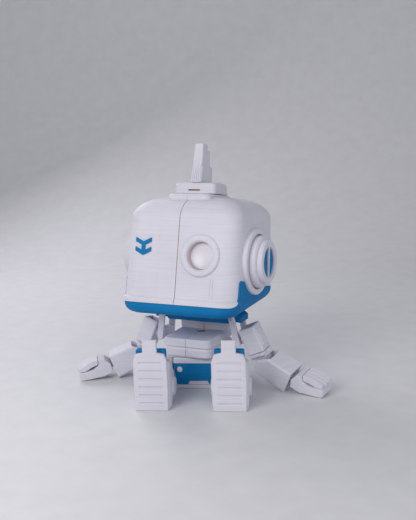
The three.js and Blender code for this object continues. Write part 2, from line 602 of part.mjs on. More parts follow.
function buildAntenna(parent) {
  const middle = (PLINTH.back + PLINTH.front) / 2;
  const plinth = pulled(plinthOutline(0), PLINTH.high - PLINTH.low, 1.2, 4).translate(0, middle, PLINTH.low);
  add(parent, 'antenna_plinth', plinth, 'white');
  const { half, front, back, high } = BLOCK;
  const low = PLINTH.high + GAP;
  const profile = polygon([
    [front, low], [back, low], [back - 5, high], [front + 2.5, high], [front, high - 2.5],
  ]);
  const block = sidePulled(profile, 2 * half, 1.6);
  const slot = box([-6.3, front - 1, 66.4], [6.3, front + 4, 68]);
  const finSeat = box([-4, -9, high - 2], [4, 13.5, high + 1]);
  add(parent, 'antenna_block', cut(block, slot, finSeat), 'white');
  const stage = (points, width) => sidePulled(polygon(points), width, 0.7);
  const { low: root, high: tip, width } = FIN;
  const fin = join(
    stage([[-11.5, root + GAP], [16, root + GAP], [15.2, 91], [-7.7, 91]], width),
    stage([[-10, root + 4], [11.2, root + 4], [10.6, 106.3], [-6, 106.3]], width - 1),
    stage([[-9.5, root + 4], [6.8, root + 4], [6, tip], [-5, tip]], width - 1.8),
    box([-3.6, -8.6, high - 1.7], [3.6, 13.1, root + 3]),
  );
  add(parent, 'antenna_fin', fin, 'white');
}

// A plain blue double chevron on the face beside the seam.
function buildBadge(parent) {
  const { x, z, size, deep } = BADGE;
  const slope = THREE.MathUtils.radToDeg(Math.atan(HEAD.frontSlope));
  const seat = group(parent, [x, HEAD.front + HEAD.frontSlope * z, z], [-slope, 0, 0]);
  const chevron = (low) => frontPulled(polygon([
    [-size, low + 4], [0, low], [size, low + 4], [size, low + 8.2], [0, low + 4.2], [-size, low + 8.2],
  ]), -deep - GAP, deep);
  const spine = box([-2, -deep - GAP, -6], [2, -GAP, 4]);
  add(seat, 'face_badge', join(chevron(0), chevron(-9), spine), 'blue');
}

function buildHead(parent) {
  const eyeHole = disc(EYE.inner + 0.4, -80, -20, 'y', 26).translate(EYE.x, 0, EYE.z);
  const earHole = disc(9, -90, 90, 'x', 24);
  const plinthMiddle = (PLINTH.back + PLINTH.front) / 2;
  const plinthSeat = pulled(plinthOutline(GAP), 20, 0, 4).translate(0, plinthMiddle, PLINTH.low - 4);
  const skin = cut(headSkin(0), headSkin(HEAD.wall), jawRegion(0), eyeHole, earHole, plinthSeat);
  const seam = 0.25;
  add(parent, 'head_shell_left', keep(skin, box([seam, -90, -90], [90, 90, 90])), 'white');
  add(parent, 'head_shell_right', keep(skin, box([-90, -90, -90], [-seam, 90, 90])), 'white');
  buildJaw(parent);
  buildEye(parent);
  for (const side of ['left', 'right']) {
    buildEar(parent, side);
  }
  buildAntenna(parent);
  buildBadge(parent);
}

// ---------------------------------------------------------------- assembly
buildPelvis(robot);
for (const side of ['left', 'right']) {
  buildLeg(robot, side);
}
const torso = group(robot, [0, 0, 0], [0, 0, TORSO.turn]);
buildTorso(torso);
for (const side of ['left', 'right']) {
  buildArm(torso, side);
}
buildNeck(torso);
buildHead(group(torso, [0, 0, HEAD.centre], [-HEAD.pitch, 0, 0]));

export default robot;
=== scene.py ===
"""Looks of a desk-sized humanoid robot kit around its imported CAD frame.

Lengths are millimetres until mesh_object() turns them into metres.
"""
import json
import math

import bmesh
import bpy
from mathutils import Matrix, Vector


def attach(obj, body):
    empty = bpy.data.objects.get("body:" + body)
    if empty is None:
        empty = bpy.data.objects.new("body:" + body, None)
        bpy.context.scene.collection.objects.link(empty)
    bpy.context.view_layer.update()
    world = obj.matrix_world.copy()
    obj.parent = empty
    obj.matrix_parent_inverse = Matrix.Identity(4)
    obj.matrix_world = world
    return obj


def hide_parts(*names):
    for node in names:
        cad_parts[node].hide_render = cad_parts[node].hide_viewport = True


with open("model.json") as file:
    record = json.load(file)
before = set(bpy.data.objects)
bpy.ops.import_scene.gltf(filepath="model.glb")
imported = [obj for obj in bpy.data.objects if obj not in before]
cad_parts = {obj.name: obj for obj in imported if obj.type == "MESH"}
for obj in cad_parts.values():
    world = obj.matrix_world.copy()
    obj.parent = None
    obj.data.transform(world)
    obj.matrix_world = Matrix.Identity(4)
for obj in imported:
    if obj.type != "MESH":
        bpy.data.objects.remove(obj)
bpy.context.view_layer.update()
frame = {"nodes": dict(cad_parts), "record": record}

MM = 0.001
LAYER = 0.28                      # printed layer height
RIDGE = 0.00008                   # bump distance of a layer, in metres
GREY_WHITE = ((0.66, 0.645, 0.73), (0.76, 0.745, 0.82))
SLOT_OF = {part["node"]: part["material_slot"] for part in frame["record"]["subparts"]}
BODY_OF = {node: body for body, nodes in frame["record"]["behaviour"]["bodies"].items() for node in nodes}
JOINTS = {joint["name"]: joint for joint in frame["record"]["behaviour"]["joints"]}

# The CAD's own dimensions that the finer pieces follow.
TORSO_TURN = -18.6
HEAD = {
    "centre": 122.6, "pitch": 7.08, "half": 60, "back": 57, "front": -47.4, "slope": 0.11, "taper": 0.023,
    "corner": 17, "crown_wide": 32, "crown_tall": 20, "top": 60.5, "lip": -34.5, "border": -40.4, "wall": 2.4,
}
JAW = {"front": -51.5, "rise": 0.15, "chamfer": 9}
EYE = {"x": 23.6, "z": 5.8, "outer": 19.9, "inner": 14}
PLINTH = {"half": 22.6, "front": -28.2, "back": 27, "low": 55.5, "high": 63.35}
BLOCK = {"half": 21.8, "front": -14, "back": 21, "high": 74.6}
EAR = {"base": 31.8, "drum": 25, "cap": 21.2, "disc": 14.1, "face": 74.5}
GAP = 0.35
SHOULDER = {"x": 38, "z": 67, "drop": 22, "splay": 11, "y": -4}
ELBOW_DROP = 27.4
LEG = {"x": 35.3, "ankle": -70, "height": 16}
WRIST_REACH = 31.5
HAND = {"half": 10.2, "ball": 4}
UPPER_ARM_X = 15.2
ARM_POSE = {
    "left": {"lift": 12.6, "swing": -5.5, "turn": 10.5, "elbow": 40.5, "wrist": 23},
    "right": {"lift": 7.3, "swing": 12, "turn": 34.5, "elbow": 47.5, "wrist": 12.5},
}


# ---------------------------------------------------------------- materials
def node_tree(name):
    material = bpy.data.materials.new(name)
    material.use_nodes = True
    tree = material.node_tree
    shader = tree.nodes["Principled BSDF"]
    return material, tree, shader


def mapped(tree, coords, **values):
    """The coordinates turned or stretched: Rotation or Scale."""
    node = tree.nodes.new("ShaderNodeMapping")
    for key, value in values.items():
        node.inputs[key].default_value = value
    tree.links.new(coords, node.inputs["Vector"])
    return node.outputs[0]


def object_coords(tree):
    return tree.nodes.new("ShaderNodeTexCoord").outputs["Object"]


def noise(tree, coords, scale, detail=3.0):
    node = tree.nodes.new("ShaderNodeTexNoise")
    node.inputs["Scale"].default_value = scale
    node.inputs["Detail"].default_value = detail
    tree.links.new(coords, node.inputs["Vector"])
    return node.outputs["Fac"]


def ramp(tree, fac, stops):
    node = tree.nodes.new("ShaderNodeValToRGB")
    elements = node.color_ramp.elements
    for element, (place, colour) in zip(elements, stops):
        element.position = place
        element.color = (*colour, 1)
    tree.links.new(fac, node.inputs["Fac"])
    return node.outputs["Color"]


def math_node(tree, operation, a, b=None):
    node = tree.nodes.new("ShaderNodeMath")
    node.operation = operation
    for socket, value in zip(node.inputs, (a, b)):
        if value is None:
            continue
        if isinstance(value, (int, float)):
            socket.default_value = value
        else:
            tree.links.new(value, socket)
    return node.outputs[0]


def vary_roughness(tree, shader, fac, low, high):
    spread = tree.nodes.new("ShaderNodeMapRange")
    spread.inputs["To Min"].default_value = low
    spread.inputs["To Max"].default_value = high
    tree.links.new(fac, spread.inputs["Value"])
    tree.links.new(spread.outputs[0], shader.inputs["Roughness"])


def raise_relief(tree, shader, height, strength, distance):
    bump = tree.nodes.new("ShaderNodeBump")
    bump.inputs["Strength"].default_value = strength
    bump.inputs["Distance"].default_value = distance
    tree.links.new(height, bump.inputs["Height"])
    tree.links.new(bump.outputs[0], shader.inputs["Normal"])


def printed_plastic(name, low, high, roughness=0.55, sideways=False, specular=0.5):
    """Fused-filament plastic: stacked layers, slight colour drift between them, and uneven sheen.

    Layers stack upwards, or across the head on a piece that was printed on its side.
    """
    material, tree, shader = node_tree(name)
    coords = object_coords(tree)
    if sideways:
        coords = mapped(tree, coords, Rotation=(0, math.pi / 2, math.radians(-TORSO_TURN)))
    split = tree.nodes.new("ShaderNodeSeparateXYZ")
    tree.links.new(coords, split.inputs[0])
    wobble = math_node(tree, "MULTIPLY", noise(tree, coords, 60.0), 0.00012)
    height = math_node(tree, "ADD", split.outputs["Z"], wobble)
    phase = math_node(tree, "MULTIPLY", height, 2 * math.pi / (LAYER * MM))
    layers = math_node(tree, "MULTIPLY_ADD", math_node(tree, "SINE", phase), 0.5)
    layers.node.inputs[2].default_value = 0.5

    streak = noise(tree, mapped(tree, coords, Scale=(18, 18, 900)), 1.0, 2.0)
    cloud = noise(tree, coords, 22.0)
    drift = math_node(tree, "ADD", math_node(tree, "MULTIPLY", streak, 0.45),
                      math_node(tree, "MULTIPLY", cloud, 0.55))
    tree.links.new(ramp(tree, drift, [(0.32, low), (0.68, high)]), shader.inputs["Base Color"])

    vary_roughness(tree, shader, drift, roughness - 0.07, roughness + 0.1)

    grain = math_node(tree, "MULTIPLY", noise(tree, coords, 2600.0, 2.0), 0.35)
    relief = math_node(tree, "ADD", math_node(tree, "MULTIPLY", layers, 0.6), grain)
    raise_relief(tree, shader, relief, 0.55, RIDGE)
    shader.inputs["Specular IOR Level"].default_value = specular
    return material


def moulded(name, low, high, roughness, grain=900.0, depth=0.00003, metallic=0.0):
    """A moulded, wrapped or machined surface with a fine grain."""
    material, tree, shader = node_tree(name)
    coords = object_coords(tree)
    cloud = noise(tree, coords, 45.0)
    tree.links.new(ramp(tree, cloud, [(0.3, low), (0.7, high)]), shader.inputs["Base Color"])
    vary_roughness(tree, shader, noise(tree, coords, 130.0), roughness - 0.06, roughness + 0.08)
    raise_relief(tree, shader, noise(tree, coords, grain, 2.0), 0.4, depth)
    shader.inputs["Metallic"].default_value = metallic
    return material


MATERIALS = {
    "white_print": printed_plastic("white_print", *GREY_WHITE),
    "white_sideways": printed_plastic("white_sideways", *GREY_WHITE, sideways=True),
    "blue_print": printed_plastic("blue_print", (0.0, 0.155, 0.40), (0.002, 0.21, 0.50), 0.6, specular=0.2),
    "dark_print": printed_plastic("dark_print", (0.018, 0.018, 0.021), (0.035, 0.035, 0.04), 0.5),
    "servo_case": moulded("servo_case", (0.012, 0.06, 0.19), (0.02, 0.09, 0.26), 0.3),
    "battery_wrap": moulded("battery_wrap", (0.012, 0.012, 0.015), (0.025, 0.025, 0.03), 0.28),
    "circuit_board": moulded("circuit_board", (0.01, 0.09, 0.04), (0.02, 0.14, 0.07), 0.35),
    "eye_dish": moulded("eye_dish", (0.74, 0.72, 0.78), (0.84, 0.82, 0.88), 0.3, 300.0, 0.00001),
    # painted shade: the brown that the head seam, the ear grooves and the antenna slot show in shadow
    "brown_painted_shade": moulded("brown_painted_shade", (0.30, 0.15, 0.11), (0.46, 0.26, 0.21), 0.6),
    # painted shade: pinkish brown for the shade inside the eye recess
    "socket": moulded("socket", (0.52, 0.38, 0.38), (0.66, 0.53, 0.53), 0.5, 300.0),
    "steel": moulded("steel", (0.42, 0.42, 0.44), (0.6, 0.6, 0.62), 0.28, 1500.0, 0.00001, 1.0),
}
for node, cad in frame["nodes"].items():
    cad.data.materials.clear()
    cad.data.materials.append(MATERIALS[SLOT_OF[node]])


# ---------------------------------------------------------------- mesh helpers
def turn(degrees, axis):
    return Matrix.Rotation(math.radians(degrees), 4, axis)


def shift(x, y, z):
    return Matrix.Translation((x, y, z))


def shade(mesh, angle):
    """Smooth faces, with sharp edges where two faces meet at more than the angle."""
    work = bmesh.new()
    work.from_mesh(mesh)
    for face in work.faces:
        face.smooth = True
    for edge in work.edges:
        edge.smooth = edge.calc_face_angle(0) < math.radians(angle)
    work.to_mesh(mesh)
    work.free()


def mesh_object(name, points, faces, place=Matrix(), material="white_print"):
    mesh = bpy.data.meshes.new(name)
    to_metres = Matrix.Scale(MM, 4) @ place
    mesh.from_pydata([to_metres @ Vector(point) for point in points], [], faces)
    mesh.validate()
    piece = bpy.data.objects.new(name, mesh)
    bpy.context.scene.collection.objects.link(piece)
    work = bmesh.new()
    work.from_mesh(mesh)
    bmesh.ops.recalc_face_normals(work, faces=work.faces)
    work.to_mesh(mesh)
    work.free()
    mesh.materials.append(MATERIALS[material])
    return piece


def rings_to_faces(count, size, close=True):
    faces = []
    for row in range(count - 1):
        for i in range(size):
            j = (i + 1) % size
            a, b = row * size, (row + 1) * size
            faces.append((a + i, a + j, b + j, b + i))
    if close:
        faces.append(tuple(reversed(range(size))))
        faces.append(tuple((count - 1) * size + i for i in range(size)))
    return faces


def loft(name, rings, place=Matrix(), material="white_print"):
    points = [point for ring in rings for point in ring]
    return mesh_object(name, points, rings_to_faces(len(rings), len(rings[0])), place, material)


def lathe(name, profile, place=Matrix(), material="white_print", axis="Z"):
    """A closed profile of (radius, height) turned about an axis; radius 0 closes on the axis."""
    def point(radius, height, angle):
        a, b = radius * math.cos(angle), radius * math.sin(angle)
        return {"Z": (a, b, height), "X": (height, a, b), "Y": (b, height, a)}[axis]

    segments = 96
    open_ends = profile[0][0] > 0 and profile[-1][0] > 0
    rows = [(r, h) for r, h in profile if r > 0]
    points = [point(r, h, 2 * math.pi * i / segments) for r, h in rows for i in range(segments)]
    faces = rings_to_faces(len(rows), segments, close=False)
    last = (len(rows) - 1) * segments
    if open_ends:
        faces += [(last + i, last + (i + 1) % segments, (i + 1) % segments, i) for i in range(segments)]
    else:
        faces.append(tuple(reversed(range(segments))))
        faces.append(tuple(last + i for i in range(segments)))
    piece = mesh_object(name, points, faces, place, material)
    shade(piece.data, 50)
    return piece


def prism(name, outline, low, high, axis, place=Matrix(), material="white_print"):
    """An outline pulled along an axis: (y, z) along X, (x, z) along Y or (x, y) along Z."""
    def point(a, b, depth):
        return {"X": (depth, a, b), "Y": (a, depth, b), "Z": (a, b, depth)}[axis]

    return loft(name, [[point(a, b, depth) for a, b in outline] for depth in (low, high)], place, material)


def block(name, low, high, place=Matrix(), material="white_print"):
    outline = [(low[0], low[1]), (high[0], low[1]), (high[0], high[1]), (low[0], high[1])]
    return prism(name, outline, low[2], high[2], "Z", place, material)


def arc(centre, radius, start, end, steps=8):
    """Profile points round a fillet, angles in degrees."""
    angles = [math.radians(start + (end - start) * i / steps) for i in range(steps + 1)]
    return [(centre[0] + radius * math.cos(t), centre[1] + radius * math.sin(t)) for t in angles]


def rounded_outline(half_x, half_y, radius, steps=6):
    x, y = half_x - radius, half_y - radius
    return [point for cx, cy, start in ((x, y, 0), (-x, y, 90), (-x, -y, 180), (x, -y, 270))
            for point in arc((cx, cy), radius, start, start + 90, steps)]


def apply_modifiers(piece):
    depsgraph = bpy.context.evaluated_depsgraph_get()
    mesh = bpy.data.meshes.new_from_object(piece.evaluated_get(depsgraph))
    old = piece.data
    piece.modifiers.clear()
    piece.data = mesh
    mesh.name = piece.name
    bpy.data.meshes.remove(old)


def carve(piece, tools, operation="DIFFERENCE"):
    """Cuts, joins or keeps the piece by throwaway tools."""
    for tool in tools:
        change = piece.modifiers.new("carve", "BOOLEAN")
        change.operation = operation
        change.solver = "MANIFOLD"
        change.object = tool
        apply_modifiers(piece)
        bpy.data.meshes.remove(tool.data)
    return piece


def weld(piece):
    """Merges the split corners of an imported or carved mesh and clears its flat seams."""
    work = bmesh.new()
    work.from_mesh(piece.data)
    bmesh.ops.remove_doubles(work, verts=work.verts, dist=2e-6)
    bmesh.ops.dissolve_limit(work, angle_limit=math.radians(0.5), verts=work.verts, edges=work.edges)
    bmesh.ops.dissolve_degenerate(work, edges=work.edges, dist=2e-6)
    work.to_mesh(piece.data)
    work.free()


def folds(mesh):
    """How many edges have their two faces lying back on each other."""
    work = bmesh.new()
    work.from_mesh(mesh)
    folded = sum(edge.calc_face_angle(0) > math.radians(150) and edge.calc_length() > 0.4 * MM
                 for edge in work.edges)
    work.free()
    return folded


def soften(piece, width, angle=40, segments=2):
    """Rounds the edges sharper than the angle, by less where the full width would fold the mesh."""
    weld(piece)
    plain = piece.data.copy()
    allowed = folds(plain)
    for share in (1, 0.7, 0.5, 0.35, 0.2):
        round_off = piece.modifiers.new("edges", "BEVEL")
        round_off.width = width * share * MM
        round_off.segments = segments
        round_off.limit_method = "ANGLE"
        round_off.angle_limit = math.radians(angle)
        round_off.use_clamp_overlap = False
        apply_modifiers(piece)
        if folds(piece.data) <= allowed:
            break
        if share > 0.2:
            piece.data = plain.copy()
    return weigh(piece, angle)


def weigh(piece, angle=40):
    """Sharp-edge marks and face-weighted normals, so large flats shade flat."""
    shade(piece.data, angle)
    normals = piece.modifiers.new("normals", "WEIGHTED_NORMAL")
    normals.keep_sharp = True
    normals.weight = 80
    apply_modifiers(piece)
    return piece


def paint(mesh, material):
    mesh.materials.clear()
    mesh.materials.append(MATERIALS[material])


def refine(node, width=0.35, angle=40, segments=2, cuts=(), material=None, reshape=None):
    """The CAD node's own shape with its edges rounded off.

    reshape is a place and a function that moves each point, given in millimetres in that place.
    """
    mesh = frame["nodes"][node].data.copy()
    piece = bpy.data.objects.new(f"{node}_print", mesh)
    bpy.context.scene.collection.objects.link(piece)
    paint(mesh, material or SLOT_OF[node])
    if reshape:
        place, move = reshape
        outwards = Matrix.Scale(MM, 4) @ place
        inwards = outwards.inverted()
        for vertex in mesh.vertices:
            vertex.co = outwards @ move(inwards @ vertex.co)
    soften(piece, width, angle, segments)
    if cuts:
        weigh(carve(piece, cuts), angle)
    return seat(piece, node)


def seat(piece, node):
    """Rides the piece on the node's body, in its place, and hides the node."""
    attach(piece, BODY_OF[node])
    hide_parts(node)
    return piece


def trim(piece, body):
    """A detail with no CAD node of its own."""
    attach(piece, body)
    return piece


# ---------------------------------------------------------------- places
torso_place = turn(TORSO_TURN, "Z")
head_place = torso_place @ shift(0, 0, HEAD["centre"]) @ turn(-HEAD["pitch"], "X")


def arm_places(side):
    """The places of the elbow and the wrist: +X outwards, -Z along the arm."""
    sign = 1 if side == "left" else -1
    pose = ARM_POSE[side]
    mirror = Matrix() if sign > 0 else turn(180, "Z")
    fork = torso_place @ shift(sign * SHOULDER["x"], 0, SHOULDER["z"]) @ turn(-sign * pose["lift"], "Y")
    swing = fork @ shift(0, SHOULDER["y"], -SHOULDER["drop"]) @ turn(-pose["swing"], "X")
    arm = swing @ turn(-sign * SHOULDER["splay"], "Y")
    swivel = arm @ shift(sign * UPPER_ARM_X, 0, 0) @ turn(-sign * pose["turn"], "Z")
    elbow = swivel @ shift(0, 0, -ELBOW_DROP) @ turn(-sign * pose["elbow"], "Y")
    wrist = elbow @ shift(0, 0, -WRIST_REACH) @ turn(-sign * pose["wrist"], "Y")
    return elbow @ mirror, wrist @ mirror


# ---------------------------------------------------------------- head
def ring(half, front, back, radius, height, steps=16):
    centres = [(half - radius, back - radius), (radius - half, back - radius),
               (radius - half, front + radius), (half - radius, front + radius)]
    points = []
    for quarter, (cx, cy) in enumerate(centres):
        for i in range(steps + 1):
            angle = (quarter + i / steps) * math.pi / 2
            x, y = cx + radius * math.cos(angle), cy + radius * math.sin(angle)
            points.append((x, y, height(x, y)))
    return points


def head_ring(z, inset):
    side = HEAD["half"] - HEAD["taper"] * (z - HEAD["lip"]) - inset
    radius = max(HEAD["corner"] - inset * 0.4, 4)
    return ring(side, HEAD["front"] + HEAD["slope"] * z + inset, HEAD["back"] - inset, radius, lambda x, y: z)


def head_skin(name, shrink):
    top, wide, tall, lip = HEAD["top"], HEAD["crown_wide"], HEAD["crown_tall"], HEAD["lip"]
    out = shrink if shrink else -1.7
    rings = [(HEAD["border"] - 25, out), (lip - 2.2, out)]
    rings += [(lip - 1.7 + 1.3 * t, out + (shrink - out) * t ** 2) for t in (0.25, 0.5, 0.75, 1)]
    rings += [(z, shrink) for z in (-28, -16, -4, 8, 20, 32)]
    for i in range(19):
        t = math.radians(5 * i)
        height = top - tall + (tall - shrink) * math.sin(t)
        rings.append((height, shrink + (wide - shrink) * (1 - math.cos(t))))
    return loft(name, [head_ring(z, inset) for z, inset in rings], head_place)


def jaw_region(name, grow):
    border = HEAD["border"]
    outline = [
        (-90, -90), (90, -90), (90, -27 + grow), (39, -26.5 + grow), (-33, -16.5 + grow),
        *arc((-34.5, -19.6), 3 + grow, 85, 170, 5), (-38.2 - grow, -24 + grow), (-39.3 - grow, -31 + grow),
        (-40.2 - grow, -33.8 + grow), (-41.7 - grow, -36.3 + grow), (-43.6 - grow, -38.2 + grow),
        (-46 - grow, border + 1 + grow), (-49, border + grow), (-90, border + grow),
    ]
    return prism(name, outline, -100, 100, "X", head_place)


def jaw_skin(name, shrink):
    side = HEAD["half"] + HEAD["taper"] * (45 + HEAD["lip"]) - shrink
    rings = []
    for i in range(11):
        t = math.radians(90 * i / 10)
        rings.append((10 * (1 - math.cos(t)) + (2.4 if shrink else 0) * math.cos(t),
                      JAW["chamfer"] * (1 - math.sin(t)) * (0.9 if shrink else 1)))
    rings += [(20, 0), (32, 0), (44, 0)]
    shape = [ring(side - inset, HEAD["front"] - 5.4 + inset + shrink, HEAD["back"] - inset - shrink,
                  max(HEAD["corner"] - inset * 0.3 - shrink, 3),
                  lambda x, y, lift=lift: JAW["front"] + JAW["rise"] * (y + 44) + lift)
             for lift, inset in rings]
    return loft(name, shape, head_place)


def face_y(z):
    return HEAD["front"] + HEAD["slope"] * z


def build_helmet():
    eye_bore = lathe("cut_eye", [(0, -80), (EYE["inner"] + 0.4, -80), (EYE["inner"] + 0.4, -20), (0, -20)],
                     head_place @ shift(EYE["x"], 0, EYE["z"]), axis="Y")
    cuts = [head_skin("cut_inner", HEAD["wall"]), jaw_region("cut_jaw", 0), eye_bore]
    skin = carve(head_skin("helmet", 0), cuts)

    def groove(x, low, high, width=0.55, deep=0.4):
        lean = math.degrees(math.atan(HEAD["slope"]))
        place = head_place @ shift(x, face_y(low), low) @ turn(-lean, "X")
        return block("cut_line", (-width / 2, -3, 0), (width / 2, deep, high - low), place)

    foot = HEAD["lip"] + 1
    lines = [groove(-19.5, foot, 34, 0.8, 0.22), groove(35.5, foot, -15), groove(38.2, foot, -15)]
    skin = carve(skin, lines)
    for side, low, high in (("left", 0.3, 90), ("right", -90, -0.3)):
        half = skin.copy()
        half.data = skin.data.copy()
        half.name = f"helmet_{side}"
        bpy.context.scene.collection.objects.link(half)
        carve(half, [block("keep_half", (low, -90, -90), (high, 90, 90), head_place)], "INTERSECT")
        seat(soften(half, 0.3), f"head_shell_{side}")
    bpy.data.objects.remove(skin)
    # A thin brown strip in the seam between the head halves, painted shade in the gap.
    shade_strip = carve(head_skin("seam_shade_strip", 0.6), [head_skin("cut_inner", 1.8), jaw_region("cut_jaw", 0)])
    carve(shade_strip, [block("keep_strip", (-0.28, -90, -90), (0.28, 90, 90), head_place)], "INTERSECT")
    paint(shade_strip.data, "brown_painted_shade")
    trim(shade_strip, "head")


def build_jaw():
    neck = lathe("cut_neck", [(0, -120), (13, -120), (13, -20), (0, -20)],
                 head_place @ turn(HEAD["pitch"], "X"))
    jaw = carve(jaw_skin("jaw", 0), [jaw_skin("cut_inner", HEAD["wall"]), neck])
    carve(jaw, [jaw_region("keep_jaw", -GAP)], "INTERSECT")
    paint(jaw.data, "blue_print")
    seat(soften(jaw, 0.35), "head_jaw")


def build_eye():
    lean = math.degrees(math.atan(HEAD["slope"]))
    place = head_place @ shift(EYE["x"], face_y(EYE["z"]), EYE["z"]) @ turn(-lean, "X")
    inner, outer = EYE["inner"], EYE["outer"]
    rim = [(inner - 0.9, 8.8), (inner - 0.9, 0.2), *arc((inner + 1.4, -0.4), 2.3, 180, 270, 7),
           *arc((outer - 2.4, -0.3), 2.4, 270, 360, 9), (outer, 1.3), (inner + 0.3, 1.3), (inner + 0.3, 8.8)]
    seat(lathe("eye_bezel", rim, place, axis="Y"), "eye_ring")
    # The socket wall between bezel and dish, pinkish brown as painted shade in the eye recess.
    wall = [(inner - 1.0, 8.9), (inner - 1.0, 2.2), (inner - 1.5, 2.6), (inner - 1.9, 8.9)]
    trim(lathe("eye_socket", wall, place, "socket", axis="Y"), "head")
    bowl = [((inner - 2.4) * math.cos(t), 4.9 + 2.6 * math.sin(t))
            for t in [math.radians(9 * i) for i in range(10)]]
    dish = [(0.01, 8.7), (inner - 2.0, 8.7), (inner - 2.0, 4.9), *bowl, (0.01, 7.5)]
    seat(lathe("eye_dish", dish, place, "eye_dish", axis="Y"), "eye_lens")


def build_ear(side):
    place = head_place @ (Matrix() if side == "left" else turn(180, "Z"))
    base, drum, cap, disc, face = EAR["base"], EAR["drum"], EAR["cap"], EAR["disc"], EAR["face"]
    outer = [(0.01, 57.6), (base, 57.6), *arc((base - 2.2, 61.4), 2.2, 0, 90, 8),
             *arc((drum + 2.2, 62.6), 1.0, 90, 180, 6), (drum + 1.2, 60.6), (drum, 60.6),
             *arc((drum - 3.6, 66.0), 3.6, 0, 90, 10), (0.01, 69.6)]
    seat(lathe(f"ear_{side}_drum", outer, place, "white_sideways", axis="X"), f"ear_drum_{side}")
    # A thin brown ring in the groove between ear ring and drum, painted shade in the groove.
    groove_shade = [(drum + 0.05, 60.7), (drum + 1.15, 60.7), (drum + 1.15, 61.1), (drum + 0.05, 61.1)]
    trim(lathe(f"ear_{side}_groove", groove_shade, place, "brown_painted_shade", axis="X"), "head")
    rim = [(disc + 0.3, 69.7), (cap, 69.7), *arc((cap - 2.2, face - 2.2), 2.2, 0, 90, 8),
           *arc((disc + 1.7, face - 1.4), 1.4, 90, 180, 6)]
    ring_piece = lathe(f"ear_{side}_cap", rim, place, "white_sideways", axis="X")
    bar = prism(f"bar_{side}", rounded_outline(1.45, disc + 0.9, 1.4), face - 3.3, face - 0.7, "X", place)
    seat(carve(ring_piece, [bar], "UNION"), f"ear_cap_{side}")
    shade(ring_piece.data, 50)
    plate = lathe(f"ear_{side}_disc", [(0.01, 69.8), (disc - 0.1, 69.8), (disc - 0.1, face - 2.5),
                                       *arc((disc - 0.7, face - 2.5), 0.6, 0, 90, 4), (0.01, face - 1.9)],
                  place, "blue_print", axis="X")
    channel = prism("cut_channel", rounded_outline(1.95, disc + 3, 1.5), face - 3.5, face + 2, "X", place)
    seat(soften(carve(plate, [channel]), 0.15, 50), f"ear_disc_{side}")


def pillow(name, half, front, back, radius, low, high, round_low, round_high, lean=0.0):
    """A block with rounded corners and rounded top and bottom edges; its back leans in towards the top."""
    rings = [(low + round_low * (1 - math.cos(t)), round_low * (1 - math.sin(t)))
             for t in [math.radians(15 * i) for i in range(7)]]
    rings += [(high - round_high * (1 - math.sin(t)), round_high * (1 - math.cos(t)))
              for t in [math.radians(15 * i) for i in range(7)]]
    shape = [ring(half - inset, front + inset, back - lean * (z - low) / (high - low) - inset,
                  max(radius - inset * 0.5, 1.0), lambda x, y, z=z: z) for z, inset in rings]
    return loft(name, shape, head_place)


def build_antenna():
    low, high, front = PLINTH["low"], PLINTH["high"], PLINTH["front"]
    plinth = pillow("antenna_plinth_print", PLINTH["half"], front, PLINTH["back"], 6.5, low, high, 3.3, 3.3)
    seam = [block("cut_seam", (-0.25, front - 1, high - 0.6), (0.25, front + 60, high + 1), head_place),
            block("cut_seam", (-0.25, front - 1, low - 1), (0.25, front + 0.5, high + 1), head_place)]
    seat(weigh(carve(plinth, seam)), "antenna_plinth")

    crest = pillow("antenna_block_print", BLOCK["half"], BLOCK["front"], BLOCK["back"], 4.5,
                   high + GAP, BLOCK["high"], 0.8, 3.6, lean=4)
    slot = block("cut_slot", (-6.3, BLOCK["front"] - 1, 66.4), (6.3, BLOCK["front"] + 4, 68.1), head_place)
    seat(weigh(carve(crest, [slot])), "antenna_block")
    # A brown strip inside the slot, painted shade in the slot.
    strip = block("antenna_slot", (-6.1, -12.4, 66.5), (6.1, -10.2, 68.0), head_place, "brown_painted_shade")
    trim(soften(strip, 0.1), "head")

    refine("antenna_fin", 0.45, 30, 3, material="white_sideways",
           reshape=(head_place, lambda p: Vector((p.x * 1.2, p.y, p.z))))
    for i, tip in enumerate((92, 97, 95, 99, 93)):
        x = 2 * (i - 2)
        face = -8.2 + 0.144 * (tip - 91)
        front, back = [(-12.1, 75.4), (-8.7, 90.5)], [(-7.4, 90.5), (-10.6, 75.4)]
        outline = [*front, (face - 0.35, tip), (face + 1, tip), *back]
        rib = prism(f"fin_rib_{i}", outline, x - 0.5, x + 0.5, "X", head_place, "white_sideways")
        trim(soften(rib, 0.2), "head")


build_helmet()
build_jaw()
build_eye()
for side in ("left", "right"):
    build_ear(side)
build_antenna()
refine("face_badge", 0.18)


# ---------------------------------------------------------------- body and limbs
def screw(name, place, body):
    """A small socket-head screw; it stands on the place's XY plane."""
    steps, radius, height = 36, 1.7, 0.7
    hexagon = radius * 0.52

    def hex_radius(angle):
        return hexagon * math.cos(math.pi / 6) / math.cos((angle + math.pi / 6) % (math.pi / 3) - math.pi / 6)

    angles = [2 * math.pi * i / steps for i in range(steps)]
    points = []
    for edge, depth in ((radius, -0.6), (radius, height - 0.25), (radius - 0.25, height)):
        points += [(edge * math.cos(t), edge * math.sin(t), depth) for t in angles]
    for depth in (height, height - 0.7):
        points += [(hex_radius(t) * math.cos(t), hex_radius(t) * math.sin(t), depth) for t in angles]
    piece = mesh_object(name, points, rings_to_faces(5, steps), place, "steel")
    shade(piece.data, 35)
    return trim(piece, body)


def on_axis(joint, offset):
    """A place on the joint's axis, offset along it, with local Z pointing outwards."""
    spec = JOINTS[joint]
    axis = Vector(spec["axis"]).normalized()
    out = axis if offset > 0 else -axis
    centre = Vector(spec["pos_m"]) / MM + axis * offset
    return Matrix.Translation(centre) @ out.to_track_quat("Z", "Y").to_matrix().to_4x4()


for node in ("pelvis_shell", "pelvis_rear_cover", "shoulder_yoke", "torso_shell_left", "torso_shell_right"):
    refine(node, 0.45)
for node in ("pelvis_front_panel", "pelvis_inlay", "pelvis_emblem", "neck_post", "neck_cradle"):
    refine(node, 0.25)


